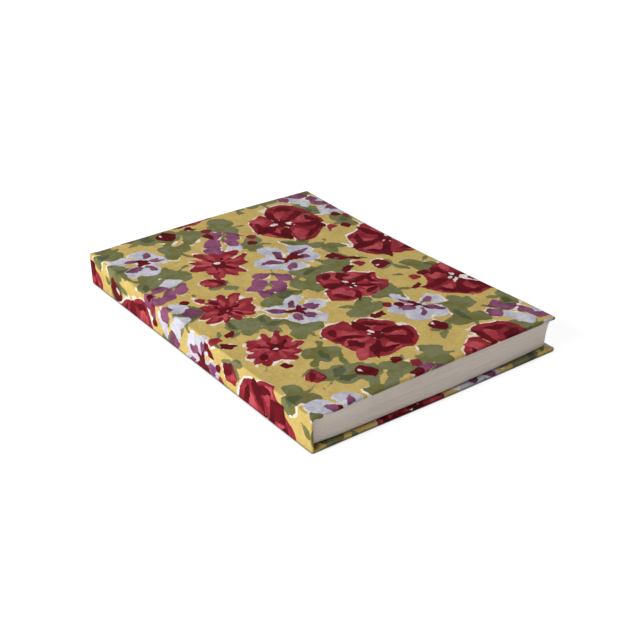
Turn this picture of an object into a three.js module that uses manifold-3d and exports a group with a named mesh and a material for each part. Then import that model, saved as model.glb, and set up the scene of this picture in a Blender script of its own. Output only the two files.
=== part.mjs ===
// A square-back notebook: sewn A5 sections in a case of board wrapped with printed cloth, lying closed on its
// back cover.
// Millimetres, +Z up. The origin is under the middle of the closed notebook.
// The spine is at -X, the fore edge at +X, the tail at -Y and the head at +Y.
import * as THREE from "three";
import Module from "manifold-3d";
import { mergeVertices } from "three/addons/utils/BufferGeometryUtils.js";

const wasm = await Module();
wasm.setup();

// Leaves and sections
const leafWidth = 148;
const leafHeight = 210;
const leafThickness = 0.16;
const leavesPerSection = 8;
const sectionCount = 10;
const turningLeafCount = 3;
const leafAir = 0.04;

// Endpapers: each is one folded sheet, half of it pasted to a cover and half a free flyleaf
const endpaperThickness = 0.16;
const endpaperMargin = 2.2;

// Covers
const boardThickness = 1.75;
const boardCornerRadius = 0.8;
const coverEdgeRadius = 0.6;
const clothThickness = 0.3;
const clothTurnIn = 15;
const squareAtEnds = 1.8;
const squareAtFore = 2.45;
const glueFilm = 0.03;

// Spine
const spineBoardThickness = 0.8;
const spineLiningThickness = 0.15;
const mullThickness = 0.2;
const mullEndMargin = 20;
const mullFlangeReach = 25;
const hollowBackAir = 0.1;

// Joints between the spine and the covers
const jointClearance = 0.9;
const jointClothRadius = 1.4;
const hingeClearance = 0.3;

// Sewing
const threadRadius = 0.22;
const kerfDepth = 0.9;
const kerfWidth = 0.8;
const stationCount = 4;
const stationEndMargin = 15;

// Small solids that only cut run this far past what they cut
const cutOverrun = 2;
const arcSegments = 6;
const edgeSegments = 4;
const threadSides = 8;

// Across the spine, from the outside of the cloth to the folds of the sections
const spineBoardInset = clothThickness + glueFilm;
const spineCaseThickness = clothThickness + glueFilm + spineBoardThickness + glueFilm + clothThickness;
const liningInset = spineCaseThickness + hollowBackAir;
const mullInset = liningInset + spineLiningThickness + glueFilm;
const spineStack = mullInset + mullThickness + glueFilm;

// Seen from above. The folds of the sections stand at x = foldX.
const coverHeight = leafHeight + 2 * squareAtEnds;
const notebookWidth = spineStack + leafWidth + squareAtFore;
const spineX = -notebookWidth / 2;
const foldX = spineX + spineStack;
const jointGap = spineStack + jointClearance;
const coverWidth = leafWidth + squareAtFore - jointGap;
const coverX = foldX + jointGap;

// Through a cover, from the outside of the cloth inwards
const caseThickness = clothThickness + glueFilm + boardThickness + glueFilm + clothThickness;
const pastedownInset = caseThickness + glueFilm;
const coverStack = pastedownInset + endpaperThickness;
const mullFlangeInset = clothThickness + glueFilm + boardThickness + glueFilm;

// Up through the closed notebook
const sectionThickness = leavesPerSection * leafThickness;
const backFlyleafZ = coverStack + leafAir;
const sectionsZ = backFlyleafZ + endpaperThickness + leafAir;
const firstSectionThickness = sectionThickness - turningLeafCount * leafThickness;
const sectionsHeight = sectionCount * (sectionThickness + leafAir) - turningLeafCount * leafThickness;
const turningLeavesZ = sectionsZ + sectionsHeight;
const frontFlyleafZ = turningLeavesZ + turningLeafCount * (leafThickness + leafAir);
const notebookThickness = frontFlyleafZ + endpaperThickness + leafAir + coverStack;

// The covers turn about the folds of their endpapers. An open cover's mull flange then lies as far beyond
// that axis as it lay before it, so the spine's case and linings stop short of it.
const jointAxisInset = coverStack + leafAir / 2;
const spineEndInset = 2 * jointAxisInset - mullFlangeInset + hingeClearance;
const spineHeight = notebookThickness - 2 * spineEndInset;

function material(color, roughness) {
  return new THREE.MeshStandardMaterial({ color, roughness, metalness: 0 });
}

const materials = {
  cloth: material(0xbea355, 0.9),
  greyBoard: material(0x8f8980, 0.95),
  bookPaper: material(0xe9e0d0, 0.85),
  endpaper: material(0xefe7d6, 0.85),
  gauze: material(0xe6e2d6, 0.95),
  kraftPaper: material(0xb08a5c, 0.9),
  thread: material(0xf2eee2, 0.8),
};

function part(name, geometry, finish, x = 0, y = 0, z = 0) {
  const mesh = new THREE.Mesh(geometry, finish);
  mesh.name = name;
  mesh.position.set(x, y, z);
  return mesh;
}

function toSolid(geometry) {
  const bare = geometry.index ? geometry.toNonIndexed() : geometry.clone();
  bare.deleteAttribute("normal");
  bare.deleteAttribute("uv");
  const merged = mergeVertices(bare, 1e-4);
  return new wasm.Manifold(
    new wasm.Mesh({
      numProp: 3,
      vertProperties: merged.attributes.position.array,
      triVerts: new Uint32Array(merged.index.array),
    }),
  );
}

function toGeometry(solid) {
  const mesh = solid.getMesh();
  const geometry = new THREE.BufferGeometry();
  geometry.setAttribute("position", new THREE.BufferAttribute(mesh.vertProperties, 3));
  geometry.setIndex(new THREE.BufferAttribute(mesh.triVerts, 1));
  return geometry;
}

// A block between two corners
function block(low, high) {
  const size = high.map((value, axis) => value - low[axis]);
  const middle = high.map((value, axis) => (value + low[axis]) / 2);
  return new THREE.BoxGeometry(...size).translate(...middle);
}

// A plate up to x = width, centred on y = 0, with its far corners and its long edges rounded. It starts a
// little before x = 0, for its near end to be cut square.
function roundedPlate(width, height, cornerRadius, edgeRadius, thickness) {
  const half = height / 2;
  const outline = new THREE.Shape();
  outline.moveTo(-cutOverrun, -half);
  outline.lineTo(width - cornerRadius, -half);
  outline.absarc(width - cornerRadius, cornerRadius - half, cornerRadius, -Math.PI / 2, 0, false);
  outline.lineTo(width, half - cornerRadius);
  outline.absarc(width - cornerRadius, half - cornerRadius, cornerRadius, 0, Math.PI / 2, false);
  outline.lineTo(-cutOverrun, half);
  outline.closePath();
  const plate = new THREE.ExtrudeGeometry(outline, {
    depth: thickness - 2 * edgeRadius,
    bevelThickness: edgeRadius,
    bevelSize: edgeRadius,
    bevelOffset: -edgeRadius,
    bevelSegments: edgeSegments,
    curveSegments: arcSegments,
  });
  return toSolid(plate.translate(0, 0, edgeRadius));
}

// What lies before x = 0, as wide and thick as a cover with room to spare
function nearEnd() {
  const half = coverHeight / 2 + cutOverrun;
  return toSolid(block([-2 * cutOverrun, -half, -cutOverrun], [0, half, caseThickness + cutOverrun]));
}

// A profile drawn in x and z, made as long as the given length along y and centred on y = 0
function lengthwise(profile, length) {
  const geometry = new THREE.ExtrudeGeometry(profile, {
    depth: length,
    bevelEnabled: false,
    curveSegments: arcSegments,
  });
  return geometry.rotateX(Math.PI / 2).translate(0, length / 2, 0);
}

// Cloth wrapped round a cover board: the outside, three edges and the turn-ins on the inside
function coverClothGeometry() {
  const pocketWidth = coverWidth - clothThickness;
  const pocketHeight = coverHeight - 2 * clothThickness;
  const pocketCorner = boardCornerRadius + glueFilm;
  const pocketEdge = coverEdgeRadius - clothThickness;
  const windowWidth = coverWidth - clothTurnIn;
  const windowHalf = coverHeight / 2 - clothTurnIn;
  const outside = roundedPlate(
    coverWidth,
    coverHeight,
    pocketCorner + clothThickness,
    coverEdgeRadius,
    caseThickness,
  );
  const pocket = roundedPlate(
    pocketWidth,
    pocketHeight,
    pocketCorner,
    pocketEdge,
    caseThickness - 2 * clothThickness,
  ).translate([0, 0, clothThickness]);
  const window = block(
    [-cutOverrun, -windowHalf, caseThickness / 2],
    [windowWidth, windowHalf, caseThickness + cutOverrun],
  );
  return toGeometry(outside.subtract(pocket).subtract(toSolid(window)).subtract(nearEnd()));
}

function coverBoardGeometry() {
  const width = coverWidth - clothThickness - glueFilm;
  const height = coverHeight - 2 * (clothThickness + glueFilm);
  const edgeRadius = coverEdgeRadius - clothThickness - glueFilm;
  const board = roundedPlate(width, height, boardCornerRadius, edgeRadius, boardThickness);
  return toGeometry(board.subtract(nearEnd()));
}

// The cloth of one cover, its board, what hinges it and its pastedown. z runs inwards from the outside of the
// cloth.
function coverPieces(prefix) {
  const hingeX = foldX + hingeClearance;
  const pastedownHalf = coverHeight / 2 - endpaperMargin;
  const pastedownEnd = coverX + coverWidth - endpaperMargin;
  const mullHalf = leafHeight / 2 - mullEndMargin;
  return [
    part(prefix + "_cloth", coverClothGeometry(), materials.cloth, coverX),
    part(
      prefix + "_board",
      coverBoardGeometry(),
      materials.greyBoard,
      coverX,
      0,
      clothThickness + glueFilm,
    ),
    part(
      prefix + "_pastedown",
      block(
        [hingeX, -pastedownHalf, pastedownInset],
        [pastedownEnd, pastedownHalf, pastedownInset + endpaperThickness],
      ),
      materials.endpaper,
    ),
    part(
      prefix + "_mull_flange",
      block(
        [hingeX, -mullHalf, mullFlangeInset],
        [coverX + mullFlangeReach, mullHalf, mullFlangeInset + mullThickness],
      ),
      materials.gauze,
    ),
  ];
}

// The cloth between a cover and the spine, round the notebook's edge. Its ends are turned in, so they are two
// layers thick.
function jointClothGeometry() {
  const layer = (inset, overlap) => {
    const outer = jointClothRadius - inset + overlap;
    const inner = jointClothRadius - inset - clothThickness;
    const centreX = spineX + jointClothRadius;
    const endX = coverX - glueFilm;
    const endZ = spineEndInset - glueFilm;
    const profile = new THREE.Shape();
    profile.moveTo(endX, jointClothRadius - outer);
    profile.lineTo(endX, jointClothRadius - inner);
    profile.lineTo(centreX, jointClothRadius - inner);
    profile.absarc(centreX, jointClothRadius, inner, -Math.PI / 2, -Math.PI, true);
    profile.lineTo(centreX - inner, endZ);
    profile.lineTo(centreX - outer, endZ);
    profile.lineTo(centreX - outer, jointClothRadius);
    profile.absarc(centreX, jointClothRadius, outer, -Math.PI, -Math.PI / 2, false);
    profile.closePath();
    return profile;
  };
  let solid = toSolid(lengthwise(layer(0, 0), coverHeight));
  for (const side of [-1, 1]) {
    const middle = (side * (coverHeight - clothTurnIn)) / 2;
    const turned = lengthwise(layer(clothThickness, glueFilm), clothTurnIn);
    solid = solid.add(toSolid(turned.translate(0, middle, 0)));
  }
  return toGeometry(solid);
}

// Cloth on the outside of the spine board, turned in over its two ends. x runs from the outside inwards.
function spineClothGeometry() {
  const half = coverHeight / 2;
  const outside = toSolid(block([0, -half, 0], [spineCaseThickness, half, spineHeight]));
  const pocket = block(
    [clothThickness, clothThickness - half, -cutOverrun],
    [spineCaseThickness - clothThickness, half - clothThickness, spineHeight + cutOverrun],
  );
  const window = block(
    [spineCaseThickness / 2, clothTurnIn - half, -cutOverrun],
    [spineCaseThickness + cutOverrun, half - clothTurnIn, spineHeight + cutOverrun],
  );
  return toGeometry(outside.subtract(toSolid(pocket)).subtract(toSolid(window)));
}

function spinePieces() {
  const boardHalf = coverHeight / 2 - clothThickness - glueFilm;
  const liningHalf = leafHeight / 2 - squareAtEnds;
  const mullHalf = leafHeight / 2 - mullEndMargin;
  const upright = (name, inset, thickness, half, finish) =>
    part(
      name,
      block([0, -half, 0], [thickness, half, spineHeight]),
      finish,
      spineX + inset,
      0,
      spineEndInset,
    );
  return [
    part("spine_cloth", spineClothGeometry(), materials.cloth, spineX, 0, spineEndInset),
    upright("spine_board", spineBoardInset, spineBoardThickness, boardHalf, materials.greyBoard),
    upright("spine_lining", liningInset, spineLiningThickness, liningHalf, materials.kraftPaper),
    upright("spine_mull", mullInset, mullThickness, mullHalf, materials.gauze),
  ];
}

function stationY(index) {
  const span = leafHeight - 2 * stationEndMargin;
  return -span / 2 + (span * index) / (stationCount - 1);
}

// A section is a few sheets folded together: a round fold at the spine, notched where the thread passes
function sectionGeometry(thickness) {
  const foldRadius = thickness / 2;
  const profile = new THREE.Shape();
  profile.moveTo(foldRadius, 0);
  profile.lineTo(leafWidth, 0);
  profile.lineTo(leafWidth, thickness);
  profile.lineTo(foldRadius, thickness);
  profile.absarc(foldRadius, foldRadius, foldRadius, Math.PI / 2, (3 * Math.PI) / 2, false);
  let solid = toSolid(lengthwise(profile, leafHeight));
  for (let index = 0; index < stationCount; index += 1) {
    const y = stationY(index);
    const kerf = block(
      [-cutOverrun, y - kerfWidth / 2, -cutOverrun],
      [kerfDepth, y + kerfWidth / 2, thickness + cutOverrun],
    );
    solid = solid.subtract(toSolid(kerf));
  }
  return toGeometry(solid);
}

// Sections are numbered from the front cover down. The uppermost holds fewer leaves, because its others turn
// by themselves.
function sections() {
  const pieces = [];
  for (let index = 0; index < sectionCount; index += 1) {
    const last = index === sectionCount - 1;
    const thickness = last ? firstSectionThickness : sectionThickness;
    const name = "section_" + String(sectionCount - index).padStart(2, "0");
    const z = sectionsZ + index * (sectionThickness + leafAir);
    pieces.push(part(name, sectionGeometry(thickness), materials.bookPaper, foldX, 0, z));
  }
  return pieces;
}

// One leaf from just beside the fold to the fore edge
function leaf(name, z, thickness, finish) {
  const half = leafHeight / 2;
  return part(name, block([hingeClearance, -half, 0], [leafWidth, half, thickness]), finish, foldX, 0, z);
}

function turningLeaves() {
  const pieces = [];
  for (let index = 0; index < turningLeafCount; index += 1) {
    const z = frontFlyleafZ - (index + 1) * (leafThickness + leafAir);
    pieces.push(leaf("leaf_" + (index + 1), z, leafThickness, materials.bookPaper));
  }
  return pieces;
}

// The sewing thread links section to section in a row of stitches at each station
function stitchRows() {
  const height = sectionsHeight - leafAir;
  const rows = [];
  for (let index = 0; index < stationCount; index += 1) {
    const row = new THREE.CylinderGeometry(threadRadius, threadRadius, height, threadSides);
    row.rotateX(Math.PI / 2);
    const x = foldX + kerfDepth / 2;
    const z = sectionsZ + height / 2;
    rows.push(part("stitch_row_" + (index + 1), row, materials.thread, x, stationY(index), z));
  }
  return rows;
}

const backCover = new THREE.Group();
backCover.add(...coverPieces("back"));

const frontCover = new THREE.Group();
frontCover.add(...coverPieces("front"));
frontCover.rotation.x = Math.PI;
frontCover.position.z = notebookThickness;

const frontJoint = new THREE.Group();
frontJoint.add(part("front_joint_cloth", jointClothGeometry(), materials.cloth));
frontJoint.rotation.x = Math.PI;
frontJoint.position.z = notebookThickness;

const textBlock = new THREE.Group();
textBlock.add(
  ...sections(),
  ...stitchRows(),
  ...spinePieces(),
  leaf("back_flyleaf", backFlyleafZ, endpaperThickness, materials.endpaper),
  part("back_joint_cloth", jointClothGeometry(), materials.cloth),
  frontJoint,
);

const notebook = new THREE.Group();
notebook.add(
  textBlock,
  backCover,
  frontCover,
  leaf("front_flyleaf", frontFlyleafZ, endpaperThickness, materials.endpaper),
  ...turningLeaves(),
);

export default notebook;
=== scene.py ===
"""Looks of a cloth-covered notebook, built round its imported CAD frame.

Lengths in the shape code are millimetres in the row's frame, and meshes are made in metres."""

import math

import bpy
import numpy as np
from mathutils import Matrix, Vector


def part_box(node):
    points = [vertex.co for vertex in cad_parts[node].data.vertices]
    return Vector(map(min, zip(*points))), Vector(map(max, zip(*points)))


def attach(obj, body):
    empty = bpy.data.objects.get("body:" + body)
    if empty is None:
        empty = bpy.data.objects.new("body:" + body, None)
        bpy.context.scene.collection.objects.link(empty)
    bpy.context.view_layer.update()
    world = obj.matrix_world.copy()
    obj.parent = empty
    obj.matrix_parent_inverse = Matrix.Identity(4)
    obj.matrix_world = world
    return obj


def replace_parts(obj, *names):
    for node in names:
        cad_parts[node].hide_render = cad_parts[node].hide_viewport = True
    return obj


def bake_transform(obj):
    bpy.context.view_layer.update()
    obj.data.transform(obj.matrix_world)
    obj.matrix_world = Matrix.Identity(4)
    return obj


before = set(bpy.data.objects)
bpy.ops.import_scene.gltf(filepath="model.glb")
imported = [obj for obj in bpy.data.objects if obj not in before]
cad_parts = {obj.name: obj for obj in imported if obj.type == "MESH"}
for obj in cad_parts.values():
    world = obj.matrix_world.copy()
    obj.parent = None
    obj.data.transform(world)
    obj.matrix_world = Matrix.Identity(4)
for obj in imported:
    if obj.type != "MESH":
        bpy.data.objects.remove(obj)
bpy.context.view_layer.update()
MM = 0.001


def cad(node):
    """The lowest and highest corner of a CAD node, in millimetres"""
    return [np.array(corner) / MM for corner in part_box(node)]


# What the shapes take from the frame
SPINE_X, SPINE_END_Z = cad("spine_cloth")[0][[0, 2]]
SPINE_DEPTH = cad("spine_cloth")[1][0] - SPINE_X
COVER_X = cad("front_cloth")[0][0]
FORE_X, END_Y, TOP_Z = cad("front_cloth")[1]
COVER_DEPTH = cad("back_cloth")[1][2]
FOLD_X = cad("section_05")[0][0]
LEAF_WIDTH = cad("section_05")[1][0] - FOLD_X
LEAF_Y = cad("section_05")[1][1]
FIRST_LEAF_Z = cad("section_10")[0][2]
LAST_LEAF_Z = cad("front_flyleaf")[1][2]

# How round the case is over the joints and the boards' edges, and how far its corners are pointed
JOINT_RADIUS = 1.0
EDGE_RADIUS = 1.0
CORNER_POINT = 0.28
# How much thinner the front cover is at its rim, and how wide that rim is
RIM_THINNING = 0.25
RIM_WIDTH = 2.5
# How far the cloth is turned in, and how far apart its points are
TURN_IN = 15.0
CLOTH_GRID = 1.0

# A leaf's thickness, and where the folds are cut into for the sewing
LEAF = 0.16
SEWING_STATIONS = (-90.0, -30.0, 30.0, 90.0)
KERF_DEPTH = 0.9
KERF_WIDTH = 0.8

# Edges of a piece that turn by more degrees than this are drawn sharp
SHARP_ANGLE = 35

# Random waves: how many are added up, their lengths as shares, and what their sum seldom passes
WAVE_COUNT = 7
WAVE_SPREAD = (0.7, 1.6)
WAVE_PEAK = 4


# Shapes


def smooth(x):
    """Rises from 0 to 1 as x does, and is level at both ends"""
    x = np.clip(x, 0, 1)
    return x * x * (3 - 2 * x)


def ramp(x, low, high):
    """Rises from 0 to 1 as x does from low to high, and is level at both ends"""
    return smooth((x - low) / (high - low))


def follow(line, places):
    """What a line, given as pairs of a place and a value, comes to at these places"""
    return np.interp(places, *zip(*line))


def waves(points, length, seed):
    """Smooth random waves, mostly from -1 to 1, about this long in millimetres"""
    rng = np.random.default_rng(seed)
    total = np.zeros(len(points))
    for _ in range(WAVE_COUNT):
        way = rng.normal(size=points.shape[1])
        way *= math.tau / (length * rng.uniform(*WAVE_SPREAD) * np.linalg.norm(way))
        total += np.sin(points @ way + rng.uniform(0, math.tau))
    return total / WAVE_PEAK


# How far the front cover of this notebook has bent, along its fore edge and along its head
FORE_DIP = [(-107, 0.65), (-96, 0.45), (-81, 0.1), (-67, -0.4), (-52, -0.85), (-36, -1.2), (-19, -1.65),
            (-2, -2.05), (15, -2.2), (34, -2.25), (53, -2.05), (73, -1.55), (93, -1.0), (107, -0.6)]
HEAD_DOME = [(-76, 0.0), (-57, 0.55), (-30, 0.95), (10, 1.1), (40, 0.85), (60, 0.55), (76, 0.3)]
# How the dip grows across the cover, how much of the dome reaches the tail, and how soon it rises
DIP_POWER = 1.6
TAIL_DOME = [(-107, 0.6), (107, 1.0)]
DOME_RISE = 8

# How far the case's head edge stands out across the front cover, and how soon that fades on the back cover
HEAD_LINE = [(-76, 1.25), (-71, 0.45), (-58, 0.35), (-48, 0.1), (-24, 0.1),
             (-6, 0.35), (8, 0.65), (50, 0.8), (76, 1.05)]
HEAD_FADE = 20.0

# How far the back cover's tail edge stands out at the spine, and between which heights that ends
SPINE_SKEW = 0.2
SPINE_SKEW_Z = (3.0, 9.0)
# How much further out it is at the fore edge, and how far across the cover that takes
FORE_SKEW = 0.87
FORE_SKEW_REACH = 90.0


def height_in_block(z):
    """0 at the lowest leaf and below, and 1 at the highest and above"""
    return np.clip((z - FIRST_LEAF_Z) / (LAST_LEAF_Z - FIRST_LEAF_Z), 0, 1)


def bent(verts):
    """Moves points with the front cover: it and what touches it fully, and lower leaves less"""
    verts = verts.copy()
    # These columns are views, here and below, so that moving one moves the points themselves
    x, y, z = verts.T
    across = np.clip((x - COVER_X) / (FORE_X - COVER_X), 0, 1)
    dip = follow(FORE_DIP, y) * across**DIP_POWER
    dome = follow(HEAD_DOME, x) * follow(TAIL_DOME, y) * smooth(across * DOME_RISE)
    z += height_in_block(z) * (dip + dome)
    return verts


def askew(verts):
    """Moves points with the back cover, whose tail edge is out of line, more so towards its fore edge"""
    verts = verts.copy()
    x, y, z = verts.T
    out = SPINE_SKEW * (1 - ramp(z, *SPINE_SKEW_Z))
    out += FORE_SKEW * smooth((x - COVER_X) / FORE_SKEW_REACH)
    y -= out * (END_Y - y) / (2 * END_Y)
    return verts


def headed(verts, front):
    """Moves points with the head edge of the case"""
    verts = verts.copy()
    x, y, _ = verts.T
    out = follow(HEAD_LINE, x)
    if not front:
        out *= 1 - smooth((x - SPINE_X) / HEAD_FADE)
    y += out * smooth(y / END_Y)
    return verts


def front_shape(verts):
    """The shape of the front cover, from its flat one"""
    return headed(bent(verts), True)


def back_shape(verts):
    """The shape of the back cover, from its flat one"""
    return headed(askew(verts), False)


def make(name, verts, faces, material, slot, body, sharp=True, **attributes):
    """A mesh piece in metres from points in millimetres, with sharp edges or with none"""
    mesh = bpy.data.meshes.new(name)
    mesh.from_pydata((verts * MM).tolist(), [], faces)
    mesh.shade_smooth()
    if sharp:
        mesh.set_sharp_from_angle(angle=math.radians(SHARP_ANGLE))
    for key, values in attributes.items():
        data = mesh.attributes.new(key, "FLOAT_VECTOR", "POINT")
        data.data.foreach_set("vector", np.asarray(values, np.float32).ravel())
    mesh.materials.append(material)
    piece = bpy.data.objects.new(name, mesh)
    bpy.context.scene.collection.objects.link(piece)
    if body:
        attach(piece, body)
    return piece


def shell(xs, ys, zs):
    """The surface of a block cut by these planes: its points, its faces, and the points' planes"""
    shape = np.array([len(xs), len(ys), len(zs)])
    numbers = -np.ones(shape, int)
    outer = np.zeros(shape, bool)
    for axis in range(3):
        for end in (0, -1):
            outer[(slice(None),) * axis + (end,)] = True
    numbers[outer] = np.arange(outer.sum())
    faces = []
    for axis in range(3):
        for end in (0, -1):
            sheet = numbers[(slice(None),) * axis + (end,)]
            corners = [sheet[:-1, :-1], sheet[1:, :-1], sheet[1:, 1:], sheet[:-1, 1:]]
            if (end == 0) == (axis != 1):
                corners.reverse()
            faces.append(np.stack(corners, -1).reshape(-1, 4))
    places = np.argwhere(outer)
    verts = np.stack([np.asarray(line)[places[:, k]] for k, line in enumerate((xs, ys, zs))], 1)
    return verts.astype(float), np.concatenate(faces).tolist(), places


# The print on the cloth. Points are (s, t) in millimetres on the flat cloth: s from the middle of the
# spine to the front cover's fore edge, t from the middle to the head.

# The inks in the order of printing, three to a vector
LAYERS = (("halo", "green", "moss"), ("lilac", "mauve", "crimson"), ("rose", "maroon", "cream"))
# The distance kept for points that are far from every shape, and the size of the print's repeat
FAR = 6.0
REPEAT = (172.0, 188.0)
PRINT_SEED = 7
# How far a motif reaches from its centre, in sizes
MOTIF_REACH = 1.9
# The waves that bend the shapes as a free hand does: length, reach and seed
HAND_WAVES = ((34, 2.2, 1), (13, 1.1, 3))


class Print:
    """Signed distances, negative inside, from points on the cloth to the shapes of each colour"""

    def __init__(self, points):
        self.points = points
        self.fields = {ink: np.full(len(points), FAR) for three in LAYERS for ink in three}

    def place(self, centre, turn, reach):
        """Starts a motif, drawn in its own frame about its centre, and says whether any point is near"""
        offset = self.points - np.asarray(centre)
        self.near = np.flatnonzero(np.hypot(*offset.T) < reach + FAR)
        c, s = math.cos(turn), math.sin(turn)
        self.local = offset[self.near] @ np.array([[c, -s], [s, c]])
        return len(self.near) > 0

    def add(self, layer, distance):
        """Adds a shape to a layer by its distance from the near points"""
        field = self.fields[layer]
        field[self.near] = np.minimum(field[self.near], distance)

    def disc(self, layer, at, radius):
        self.add(layer, np.hypot(*(self.local - np.asarray(at)).T) - radius)

    def blade(
        self, layer, start, angle, length, width, belly=1.0, fullness=1.0, grow=0.0, shift=(0, 0)
    ):
        """A petal, leaf or stroke. A belly above 1 is nearer the tip, and a fullness under 1 rounds it."""
        offset = self.local - np.asarray(start) - np.asarray(shift)
        along = offset @ np.array([math.cos(angle), math.sin(angle)])
        across = np.abs(offset @ np.array([-math.sin(angle), math.cos(angle)]))
        held = np.clip(along, 0, length)
        half = width / 2 * np.sin(np.pi * (held / length) ** belly) ** fullness
        outside = along != held
        self.add(layer, np.where(outside, np.hypot(across, along - held), across - half) - grow)

    def haloed(self, layer, *blade, grow, shift):
        """A blade with a pale halo that shows to one side, as when blocks are printed out of line"""
        self.blade("halo", *blade, grow=grow, shift=shift)
        self.blade(layer, *blade)


def polar(radius, angle):
    """The point at this distance in this direction"""
    return np.array([radius * math.cos(angle), radius * math.sin(angle)])


# The motifs. Their numbers are shares of the motif's size and angles in radians.


def rose(p, size, rng):
    """A wild rose of five broad, uneven petals, shaded between them"""
    for k in range(5):
        angle = k * math.tau / 5 + rng.uniform(-0.2, 0.2)
        length = size * rng.uniform(0.74, 1.08)
        width = size * rng.uniform(0.9, 1.2)
        start = polar(0.06 * size, angle)
        p.haloed("crimson", start, angle, length, width, 1.7, 0.62, grow=1.0, shift=(1.1, -0.9))
        for _ in range(2):
            lit = angle + rng.uniform(-0.36, 0.36)
            at = polar(rng.uniform(0.3, 0.44) * size, lit)
            reach = rng.uniform(0.38, 0.58) * size
            p.blade("rose", at, lit, reach, rng.uniform(0.2, 0.36) * size, 1.3, 0.7)
        gap = angle + math.tau / 10 + rng.uniform(-0.12, 0.12)
        reach = rng.uniform(0.7, 0.95) * size
        p.blade("maroon", polar(0.1 * size, gap), gap, reach, rng.uniform(0.2, 0.38) * size, 1.4)
        fold = angle + rng.uniform(-0.3, 0.3)
        start = polar(0.9 * length, fold - 0.32)
        p.blade("maroon", start, fold + math.pi / 2 + 0.15, 0.62 * size, 0.2 * size)
    p.disc("maroon", (0, 0), 0.23 * size)
    for k in range(5):
        way = k * math.tau / 5 + rng.uniform(0, 0.6)
        p.blade("cream", polar(0.08 * size, way), way, rng.uniform(0.12, 0.22) * size, 0.07 * size)


def aster(p, size, rng):
    """A round flower of many narrow petals, the inner ones lighter"""
    p.disc("crimson", (0, 0), 0.62 * size)
    for count, reach, breadth, layer in ((11, 1.0, 0.42, "crimson"), (9, 0.86, 0.21, "rose")):
        for k in range(count):
            angle = (k + rng.uniform(-0.25, 0.25)) * math.tau / count
            length = size * reach * rng.uniform(0.78, 1.05)
            petal = (polar(0.1 * size, angle), angle, length, breadth * size, 1.6, 0.6)
            if layer == "crimson":
                p.haloed(layer, *petal, grow=0.8, shift=(0.9, 0.8))
            else:
                p.blade(layer, *petal)
    p.disc("maroon", (0, 0), 0.27 * size)
    for k in range(6):
        way = k * math.tau / 6 + rng.uniform(0, 0.5)
        p.blade("maroon", polar(0.2 * size, way), way, rng.uniform(0.2, 0.55) * size, 0.15 * size)
    p.disc("cream", (0.06 * size, 0.05 * size), 0.07 * size)


def posy(p, size, rng):
    """A pale flower of five loose petals, streaked from the middle"""
    for k in range(5):
        angle = k * math.tau / 5 + rng.uniform(-0.22, 0.22)
        length = size * rng.uniform(0.75, 1.1)
        start = polar(0.06 * size, angle)
        width = size * rng.uniform(0.58, 0.86)
        p.haloed("lilac", start, angle, length, width, 1.5, 0.65, grow=0.8, shift=(-0.8, -0.7))
        for _ in range(2):
            streak = angle + rng.uniform(-0.25, 0.25)
            at = polar(rng.uniform(0.15, 0.3) * size, streak)
            reach = rng.uniform(0.38, 0.62) * size
            p.blade("mauve", at, streak, reach, rng.uniform(0.17, 0.32) * size, 0.8)
    for k in range(4):
        way = k * math.tau / 4 + rng.uniform(0, 0.9)
        p.blade("maroon", (0, 0), way, rng.uniform(0.25, 0.5) * size, 0.2 * size)
    p.disc("maroon", (0, 0), 0.16 * size)


def frond(p, size, rng):
    """A stalk with mauve leaflets in pairs"""
    size *= 1.16
    p.blade("green", (-size, 0), 0.05, 2.0 * size, 0.14 * size)
    for k in range(3):
        at = (-0.6 + 0.55 * k) * size
        for side in (-1, 1):
            angle = side * rng.uniform(0.6, 0.95)
            length = size * rng.uniform(0.7, 0.95) * (1.1 - 0.1 * k)
            layer = "lilac" if rng.random() < 0.25 else "mauve"
            leaflet = ((at, side * 0.06 * size), angle, length, 0.6 * size, 1.2, 0.8)
            p.haloed(layer, *leaflet, grow=0.6, shift=(0.7, 0.5))
    p.blade("mauve", (0.75 * size, 0), 0.05, 0.8 * size, 0.5 * size, 1.2, 0.8)


def bud(p, size, rng):
    """A closed bud: crimson petals wrapped round each other, or dark all over with a glint"""
    dark = rng.random() < 0.6
    whole = ((0, 0), 0, 1.5 * size, 1.15 * size, 1.1, 0.8)
    p.haloed("maroon" if dark else "crimson", *whole, grow=0.8, shift=(0.5, -0.8))
    if dark:
        p.blade("cream", (0.7 * size, 0.2 * size), 0.2, 0.4 * size, 0.13 * size)
    else:
        p.blade("rose", (0.45 * size, 0.22 * size), 0.1, 0.75 * size, 0.34 * size)
        p.blade("maroon", (0.1 * size, -0.05 * size), -0.22, 1.2 * size, 0.5 * size)
    for angle in (-0.8, 0.8, 2.6):
        p.blade("green", (-0.05 * size, 0), angle, 1.0 * size, 0.5 * size, 0.8)


def sprig(p, size, rng):
    """Three broad leaves on a stalk"""
    p.blade("green", (-0.6 * size, 0.1 * size), -0.12, 1.0 * size, 0.2 * size, 1.0, 0.4)
    for angle, share in ((-1.0, 0.85), (1.0, 0.85), (0.0, 1.1)):
        angle += rng.uniform(-0.25, 0.25)
        length = size * share * rng.uniform(0.95, 1.2)
        width = size * rng.uniform(0.66, 0.9)
        leaf = (polar(0.02 * size, angle), angle, length, width, 0.9, 0.7)
        if rng.random() < 0.5:
            p.haloed("green", *leaf, grow=0.5, shift=(0.6, 0.8))
        else:
            p.blade("green", *leaf)
        if rng.random() < 0.35:
            at = polar(0.12 * size, angle + 0.2)
            p.blade("moss", at, angle + 0.05, 0.8 * length, 0.42 * width, 0.8)


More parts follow.
